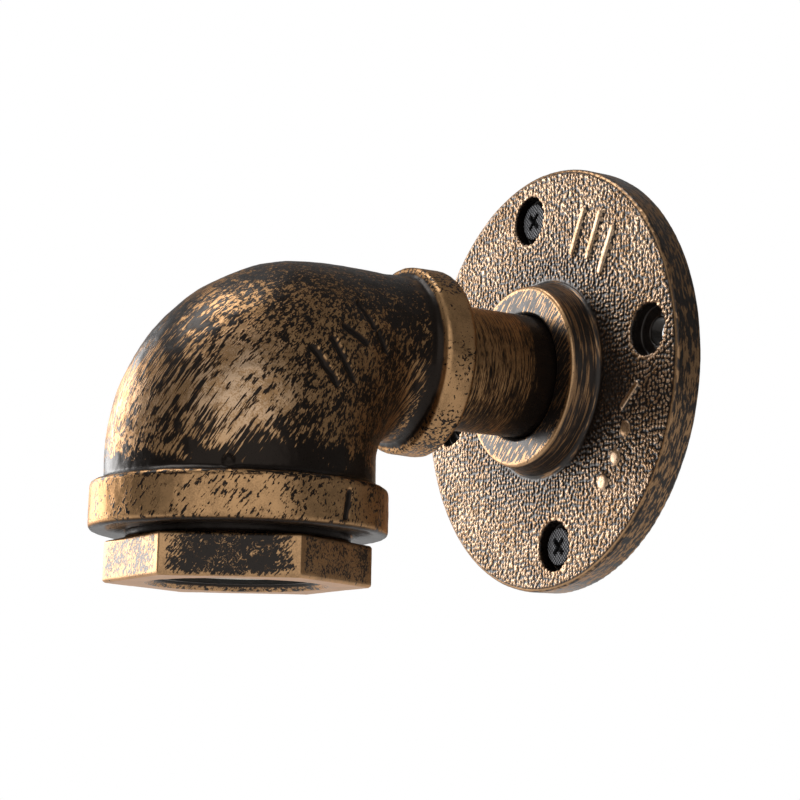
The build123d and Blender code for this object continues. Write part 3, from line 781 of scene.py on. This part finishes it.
def pebble_tops(graph, place):
    """1 in the middle of the face's pebbles, and 0 in the valleys between them."""
    x, _, z = graph.parts(place)
    pitch = settings("casting").pebble_pitch / MM
    across = graph.plus(x, graph.swing(graph.noise(place, 2.5), 0.9))
    elsewhere = graph.moved(place, (31.0, 17.0, 5.0))
    up = graph.plus(z, graph.swing(graph.noise(elsewhere, 2.5), 0.9))
    return graph.fall(graph.cells(across, up, pitch), 0.15, 0.58)


def flange_height(graph, place):
    """Pebbles on the face, none on the marks, and a faint swell all over."""
    face = flange_zones(graph, place)[1]
    marks = graph.fall(graph.parts(place)[1], FLANGE_FACE - 0.35, FLANGE_FACE - 0.15)
    height = settings("casting").pebble_height / MM
    pebbles = graph.times(pebble_tops(graph, place), graph.off(face, marks), height)
    return graph.plus(pebbles, graph.swing(graph.noise(place, 6.0, 3.0), 0.16))


def face_gold(finish, radius, patches, fine):
    """Gold on the pebbles, on the marks and in rings round the holes, with less gold right of the hub
    as painted shade of the arm.
    """
    place = finish.place
    x, y, z = finish.parts(place)
    outward = finish.rise(radius, HUB_RADIUS - 0.2, HUB_RADIUS + 15.8)
    # painted shade: less gold to the right of the hub, where the arm shades the face
    painted_shade = finish.times(finish.rise(x, 6.0, 20.0), finish.near(z, -4.0, 24.0))
    cover = finish.weigh(
        finish.plus(0.30, finish.swing(patches, 0.7)), (outward, 0.40), (painted_shade, -0.22))
    level = finish.plus(finish.times(pebble_tops(finish, place), 0.85),
                        finish.swing(fine, 0.7), finish.less(cover, 0.5))
    gold = finish.times(finish.rise(level, 0.34, 0.62), finish.between(outward, 0.76, 1.0))
    mark = finish.fall(y, FLANGE_FACE - 0.45, FLANGE_FACE - 0.3)
    gold = finish.either(gold, finish.times(mark, finish.rise(fine, 0.30, 0.36)))
    distance = hole_distance(finish, place)
    broken = finish.rise(finish.noise(place, 0.8, 3.0), 0.38, 0.46)
    ring = finish.times(finish.near(distance, HOLE_MOUTH + 0.4, 0.7), broken)
    outside = finish.rise(distance, HOLE_MOUTH - 0.2, HOLE_MOUTH + 0.1)
    return finish.times(finish.either(gold, ring), outside)


def hub_gold(finish, radius, patches, fine):
    """Gold smeared over the hub's face and brushed round its side."""
    place = finish.place
    y = finish.parts(place)[1]
    smears = finish.strokes(place, (0.7, 0.0, 0.7), 3.0, 0.45, 3.0)
    edge = finish.rise(finish.plus(radius, finish.swing(fine, 2.0)),
                       HUB_RADIUS - 3.1, HUB_RADIUS - 2.3)
    on_face = finish.covered(smears, finish.plus(0.26, finish.times(edge, 0.95)), 2.2)
    around = finish.noise(finish.scaled(place, (0.05, 1.0, 0.05)), 0.35, 4.0)
    brim = finish.fall(y, HUB_FACE + 0.4, HUB_FACE + 0.8)
    side_cover = finish.plus(0.36, finish.times(brim, 0.6), finish.swing(patches, 0.7))
    on_side = finish.times(finish.covered(around, side_cover, 2.0, 0.16), 0.72)
    gold = finish.pick(finish.fall(y, HUB_FACE + 0.2, HUB_FACE + 0.5), on_face, on_side)
    return finish.off(gold, finish.fall(radius, HUB_BORE, HUB_BORE + 0.3))


def flange_finish():
    """Rubbed bronze of the pebbled face, the hub and the rim, with a bright outer edge, and a paler
    face as painted reflection.
    """
    finish = Finish("rubbed_bronze_flange")
    place = finish.place
    radius, face, hub, rim = flange_zones(finish, place)
    patches = finish.noise(place, 8.0, 3.0)
    fine = finish.noise(place, 0.5, 2.0)
    streaked = finish.noise(finish.scaled(place, (0.25, 1.0, 0.25)), 0.5, 4.0)
    rim_cover = finish.plus(0.52, finish.less(patches, 0.5))
    rim_gold = finish.times(finish.covered(streaked, rim_cover, 1.8, 0.14), 0.75)
    share = finish.plus(
        finish.times(face_gold(finish, radius, patches, fine), face),
        finish.times(hub_gold(finish, radius, patches, fine), hub),
        finish.times(rim_gold, rim))
    in_front = finish.fall(finish.parts(place)[1], FLANGE_FACE + 0.45, FLANGE_FACE + 0.7)
    edge = finish.times(finish.near(radius, RIM_RADIUS + 0.05, 0.42), in_front)
    share = finish.either(share, finish.times(edge, 0.95))
    # painted reflection: the face's gold is made paler and less yellow, standing in for its whitish
    # sheen
    rubbed_bronze(finish, share, sheen=0.5, painted_highlight=finish.times(face, 0.9))
    return finish.material


# ---- hardware
def plain_metal(name, base, roughness, grain=0.4, depth=0.01):
    """Plated or bright metal with a fine uneven grain."""
    finish = Finish(name)
    cloud = finish.noise(finish.place, 3.0, 4.0)
    fine = finish.noise(finish.place, grain, 3.0)
    finish.set(
        base_color=finish.blend(finish.rise(cloud, 0.35, 0.65), shade(base, 0.72), base),
        metallic=1.0,
        roughness=finish.between(fine, roughness - 0.08, roughness + 0.10))
    finish.bump(fine, depth)
    return finish.material


def knurl(graph, place):
    """0 in the grooves of a diamond knurl on a plane across the pipe, and 1 on its points."""
    x, _, z = graph.parts(place)
    turn = pi * MM / settings("casting").knurl_pitch
    rows = []
    for sign in (1.0, -1.0):
        across = graph.times(graph.plus(x, graph.times(z, sign)), turn)
        rows.append(graph.math("ABSOLUTE", graph.math("SINE", across)))
    return graph.rise(graph.times(rows[0], rows[1]), 0.10, 0.75)


def screw_face(graph, place):
    """1 on the front of the flange screws, and 0 in their slots and on their shanks."""
    return graph.fall(graph.parts(place)[1], SCREW_FRONT + 0.25, SCREW_FRONT + 0.5)


def screw_height(graph, place):
    """The knurl's points, raised from its grooves."""
    depth = settings("casting").knurl_depth / MM
    return graph.times(graph.less(knurl(graph, place), 1.0), screw_face(graph, place), depth)


def screw_finish():
    """Black oxide, paler on the points of the knurl."""
    finish = Finish("knurled_black_steel")
    base = settings("metal").screw_black
    points = finish.times(knurl(finish, finish.place), screw_face(finish, finish.place))
    cloud = finish.noise(finish.place, 0.8, 3.0)
    rubbed = finish.times(points, finish.between(cloud, 0.5, 1.2))
    finish.set(
        base_color=finish.blend(rubbed, base, shade(base, 4.0)),
        metallic=0.75,
        roughness=finish.between(cloud, 0.30, 0.48))
    finish.bump(cloud, 0.02)
    return finish.material


def moulding(name, base, roughness, depth, coat=0.0, mottle=0.15):
    """Plastic, glaze or lead covering with a faint mottle and a soft grain."""
    finish = Finish(name)
    cloud = finish.noise(finish.place, 2.5, 3.0)
    fine = finish.noise(finish.place, 0.3, 3.0)
    finish.set(
        base_color=finish.blend(cloud, shade(base, 1 - mottle), shade(base, 1 + mottle)),
        roughness=finish.between(fine, roughness - 0.05, roughness + 0.08),
        coat_weight=coat, coat_roughness=0.08)
    finish.bump(fine, depth)
    return finish.material


def dress(material, *nodes):
    """Give CAD nodes a material in place of the one they came with."""
    for node in nodes:
        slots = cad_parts[node].data.materials
        slots.clear()
        slots.append(material)


# ======== operators
class PIPELIGHT_OT_stage(bpy.types.Operator):
    """Floor, backdrop, soft lamps, the tent that the metal reflects, and the camera"""

    bl_idname = "pipe_light.stage"
    bl_label = "Set the Stage"

    # windows of the tent: direction, half width, height and half height, in degrees
    windows = (
        (-31.0, 40.0, 8.0, 34.0), (200.0, 24.0, 12.0, 26.0), (-125.0, 30.0, 62.0, 22.0),
    )

    def execute(self, context):
        stage = settings("stage")
        context.scene.view_settings.view_transform = "Standard"
        self.floor(stage)
        self.backdrop(stage)
        self.lamp("top_lamp", stage.top_power, (-0.35, -0.30, 0.98), 0.6)
        self.lamp("side_lamp", stage.side_power, (-0.90, -0.40, 0.20), 0.55)
        self.tent(stage)
        self.camera(stage)
        return {"FINISHED"}

    def cloth(self, name, bm, size, base, dark, roughness):
        """A stage object whose matt colour varies a little in clouds of this size."""
        mesh = mesh_from(bm, name)
        finish = Finish(name + "_surface")
        cloud = finish.noise(finish.place, size)
        finish.set(base_color=finish.blend(cloud, shade(base, dark), base), roughness=roughness)
        mesh.materials.append(finish.material)
        return add_object(name, mesh)

    def floor(self, stage):
        bm = bmesh.new()
        bmesh.ops.create_grid(bm, x_segments=8, y_segments=8, size=stage.floor_size / 2)
        bm.transform(Matrix.Translation((0, 0, -stage.floor_drop)))
        floor = self.cloth("floor", bm, 120.0, stage.floor_colour, 0.97, 0.75)

    def backdrop(self, stage):
        world = bpy.data.worlds.new("studio")
        world.use_nodes = True
        bpy.context.scene.world = world
        graph = Graph(world.node_tree)
        graph.tree.nodes.clear()
        rays = graph.node("ShaderNodeLightPath").outputs
        seen = graph.either(
            rays["Is Camera Ray"], rays["Is Glossy Ray"], rays["Is Transmission Ray"])
        lit = graph.node("ShaderNodeBackground", {"Color": (1, 1, 1, 1), "Strength": stage.fill})
        backdrop = {"Color": colour(stage.backdrop_colour), "Strength": 1.0}
        shown = graph.node("ShaderNodeBackground", backdrop)
        chosen = graph.node("ShaderNodeMixShader", {0: seen, 1: lit.outputs[0], 2: shown.outputs[0]})
        output = graph.node("ShaderNodeOutputWorld")
        graph.feed(output.inputs["Surface"], chosen.outputs[0])

    def lamp(self, name, power, place, size):
        """Square soft lamp that looks at the middle of the arm."""
        light = bpy.data.lights.new(name, "AREA")
        light.energy = power
        light.shape = "SQUARE"
        light.size = size
        lamp = add_object(name, light)
        lamp.location = place
        lamp.rotation_euler = (ARM_MIDDLE - lamp.location).to_track_quat("-Z", "Y").to_euler()

    def in_window(self, middle):
        """Whether a face of the tent lies in one of its windows."""
        for heading, half_width, height, half_height in self.windows:
            turn = (degrees(atan2(middle.y, middle.x)) - heading + 180.0) % 360.0 - 180.0
            up = degrees(asin(middle.z)) - height
            if (turn / half_width) ** 2 + (up / half_height) ** 2 < 1.0:
                return True
        return False

    def tent(self, stage):
        """Grey cloth tent with white windows, which only the metal sees."""
        bm = bmesh.new()
        bmesh.ops.create_icosphere(bm, subdivisions=5, radius=1.0)
        cut = [face for face in bm.faces if self.in_window(face.calc_center_median().normalized())]
        bmesh.ops.delete(bm, geom=cut, context="FACES")
        bm.transform(Matrix.Translation(ARM_MIDDLE))
        tent = self.cloth("tent", bm, 60.0, stage.tent_colour, 0.77, 0.9)
        tent.visible_camera = False
        tent.visible_diffuse = False
        tent.visible_shadow = False
        tent.visible_transmission = False

    def camera(self, stage):
        lens = bpy.data.cameras.new("camera")
        lens.sensor_width = 36.0
        lens.lens = stage.focal_length
        lens.clip_start = 0.01
        camera = add_object("camera", lens)
        camera.location = stage.camera_place
        camera.rotation_euler = stage.camera_turn
        bpy.context.scene.camera = camera


class PIPELIGHT_OT_wall_flange(bpy.types.Operator):
    """Pebbled wall flange with plain raised casting marks"""

    bl_idname = "pipe_light.wall_flange"
    bl_label = "Wall Flange"

    # plain bars and dots: angle round the flange, distance from its centre, length, width
    # and own turn, in degrees and millimetres
    marks = (
        (66.0, 31.0, 10.5, 1.7, 63.0), (56.0, 32.0, 10.5, 1.7, 63.0),
        (46.0, 31.5, 10.5, 1.7, 63.0), (-14.0, 30.0, 7.0, 1.3, 40.0),
        (-26.0, 31.0, 3.4, 3.4, 0.0), (-37.0, 31.0, 3.4, 3.4, 0.0),
        (-48.0, 31.0, 3.4, 3.4, 0.0), (150.0, 29.0, 8.0, 1.6, 120.0),
    )

    def execute(self, context):
        casting = settings("casting")
        additions = []
        for angle, distance, length, width, turn in self.marks:
            bm = rounded_bar(length * MM, width * MM, casting.mark_height, casting.mark_height)
            bm.transform(Matrix.Rotation(-radians(turn), 4, "Y"))
            across, up = distance * cos(radians(angle)), distance * sin(radians(angle))
            bm.transform(Matrix.Translation(Vector((across, FLANGE_FACE, up)) * MM))
            additions.append(mesh_from(bm, "mark"))
        mesh = skinned("wall_flange", casting.flange_step, additions)
        piece = place_piece("flange_casting", mesh, "wall_plate",
                            flange_finish())
        relief(piece, "pebbled_skin", flange_height)
        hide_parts("wall_flange")
        return {"FINISHED"}


class PIPELIGHT_OT_elbow(bpy.types.Operator):
    """Reducing elbow with an uneven cast skin"""

    bl_idname = "pipe_light.elbow"
    bl_label = "Reducing Elbow"

    def execute(self, context):
        casting = settings("casting")
        mesh = skinned("reducing_elbow", casting.elbow_step)
        piece = place_piece("elbow_casting", mesh, "arm",
                            elbow_finish())
        relief(piece, "cast_skin", elbow_height)
        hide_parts("reducing_elbow")
        return {"FINISHED"}


class PIPELIGHT_OT_bushing(bpy.types.Operator):
    """Hexagon bushing with an uneven cast skin"""

    bl_idname = "pipe_light.bushing"
    bl_label = "Hexagon Bushing"

    def execute(self, context):
        casting = settings("casting")
        mesh = skinned("hex_bushing", casting.bushing_step, passes=1)
        piece = place_piece("bushing_casting", mesh, "arm",
                            bushing_finish())
        relief(piece, "cast_skin", bushing_height)
        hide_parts("hex_bushing")
        return {"FINISHED"}


class PIPELIGHT_OT_pipe(bpy.types.Operator):
    """Brushed pipe nipple between the flange and the elbow"""

    bl_idname = "pipe_light.pipe"
    bl_label = "Pipe Nipple"

    def execute(self, context):
        dress(pipe_finish(), "pipe_nipple")
        return {"FINISHED"}


class PIPELIGHT_OT_fixings(bpy.types.Operator):
    """Flange screws and the crossbar behind the flange"""

    bl_idname = "pipe_light.fixings"
    bl_label = "Screws and Crossbar"

    def execute(self, context):
        metal = settings("metal")
        mesh = skinned("flange_screws", settings("casting").screw_step, passes=1)
        piece = place_piece("knurled_screws", mesh, "wall_plate",
                            screw_finish())
        relief(piece, "knurled_fronts", screw_height)
        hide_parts("flange_screws")
        dress(plain_metal("zinc_plate", metal.zinc, 0.36),
              "mounting_crossbar", "holder_lock_ring", "terminal_screws", "clamp_washers")
        return {"FINISHED"}


class PIPELIGHT_OT_lampholder(bpy.types.Operator):
    """Sleeve, ceramic base and screw shell with its rolled thread"""

    bl_idname = "pipe_light.lampholder"
    bl_label = "Lampholder"

    def execute(self, context):
        holder = settings("holder")
        dress(moulding("black_phenolic", holder.phenolic, 0.32, 0.02), "lampholder_sleeve")
        dress(moulding("glazed_ceramic", holder.ceramic, 0.22, 0.02, coat=0.6, mottle=0.04),
              "lampholder_base")
        self.shell(holder)
        return {"FINISHED"}

    def ring(self, bm, z, radius_at):
        """Ring of points about the lamp's axis, with a radius for each angle."""
        centre = (SHELL_HIGH + SHELL_LOW) / 2
        points = 120
        ring = []
        for step in range(points):
            angle = 2 * pi * step / points
            radius = radius_at(angle)
            place = (centre.x + radius * cos(angle), centre.y + radius * sin(angle), z)
            ring.append(bm.verts.new(place))
        return ring

    def skin(self, bm, holder, inset, neck_height, top):
        """Rings of one side of the shell: its thread, its neck and its floor."""
        outside = (SHELL_HIGH.x - SHELL_LOW.x) / 2 - inset
        rows = 90
        rings = []
        for row in range(rows + 1):
            up = holder.thread_length * row / rows
            ends = min(1.0, up / holder.thread_end, (holder.thread_length - up) / holder.thread_end)
            turns = 2 * pi * up / holder.thread_pitch
            depth = ends * holder.thread_depth
            rings.append(self.ring(
                bm, SHELL_LOW.z + up,
                lambda angle: outside - depth * (0.5 - 0.5 * cos(turns - angle))))
        for radius, z in ((outside - holder.neck_step, neck_height),
                          (outside - holder.neck_step, top), (holder.floor_hole, top)):
            rings.append(self.ring(bm, z, lambda angle: radius))
        return rings

    def shell(self, holder):
        """Thin shell whose wall follows a rolled thread, with a floor round a hole."""
        neck, top = SHELL_LOW.z + holder.thread_length, SHELL_HIGH.z
        wall = holder.shell_wall
        bm = bmesh.new()
        outer = self.skin(bm, holder, 0.0, neck + wall, top)
        inner = self.skin(bm, holder, wall, neck, top - wall)
        for rings in (outer, inner):
            for lower, upper in zip(rings, rings[1:]):
                bridge(bm, lower, upper)
        for end in (0, -1):
            bridge(bm, outer[end], inner[end])
        material = plain_metal("nickel_plate", settings("metal").nickel, 0.24)
        piece = place_piece("rolled_shell", mesh_from(bm, "rolled_shell"), "arm",
                            material)
        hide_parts("screw_shell")


class PIPELIGHT_OT_contacts(bpy.types.Operator):
    """Brass plates, rivets and plunger, and the spring"""

    bl_idname = "pipe_light.contacts"
    bl_label = "Contacts"

    def execute(self, context):
        metal = settings("metal")
        dress(plain_metal("bright_brass", metal.brass, 0.30),
              "live_plate", "neutral_plate", "shell_rivets", "neutral_rivet", "contact_plunger")
        dress(plain_metal("spring_wire", metal.steel, 0.32, 0.2), "contact_spring")
        return {"FINISHED"}


class PIPELIGHT_OT_leads(bpy.types.Operator):
    """Coverings of the two inner leads"""

    bl_idname = "pipe_light.leads"
    bl_label = "Inner Leads"

    def execute(self, context):
        holder = settings("holder")
        dress(moulding("brown_covering", holder.live_colour, 0.42, 0.01), "live_lead")
        dress(moulding("blue_covering", holder.neutral_colour, 0.42, 0.01), "neutral_lead")
        return {"FINISHED"}


STEPS = (
    PIPELIGHT_OT_stage, PIPELIGHT_OT_wall_flange, PIPELIGHT_OT_elbow, PIPELIGHT_OT_bushing,
    PIPELIGHT_OT_pipe, PIPELIGHT_OT_fixings, PIPELIGHT_OT_lampholder, PIPELIGHT_OT_contacts,
    PIPELIGHT_OT_leads,
)
GROUPS = {
    "stage": StageSettings, "metal": MetalSettings,
    "holder": HolderSettings, "casting": CastingSettings,
}


class PIPELIGHT_PT_panel(bpy.types.Panel):
    """Sidebar list of the steps that build the light"""

    bl_label = "Pipe Wall Light"
    bl_idname = "PIPELIGHT_PT_panel"
    bl_space_type = "VIEW_3D"
    bl_region_type = "UI"
    bl_category = "Pipe Light"

    def draw(self, context):
        for step in STEPS:
            self.layout.operator(step.bl_idname)


def register():
    for group in GROUPS.values():
        bpy.utils.register_class(group)
    for name, group in GROUPS.items():
        setattr(bpy.types.Scene, "pipe_light_" + name, PointerProperty(type=group))
    for step in STEPS:
        bpy.utils.register_class(step)
    bpy.utils.register_class(PIPELIGHT_PT_panel)


def unregister():
    bpy.utils.unregister_class(PIPELIGHT_PT_panel)
    for step in reversed(STEPS):
        bpy.utils.unregister_class(step)
    for name in GROUPS:
        delattr(bpy.types.Scene, "pipe_light_" + name)
    for group in GROUPS.values():
        bpy.utils.unregister_class(group)


def main():
    register()
    for step in STEPS:
        group, name = step.bl_idname.split(".")
        getattr(getattr(bpy.ops, group), name)()


if __name__ == "__main__":
    main()
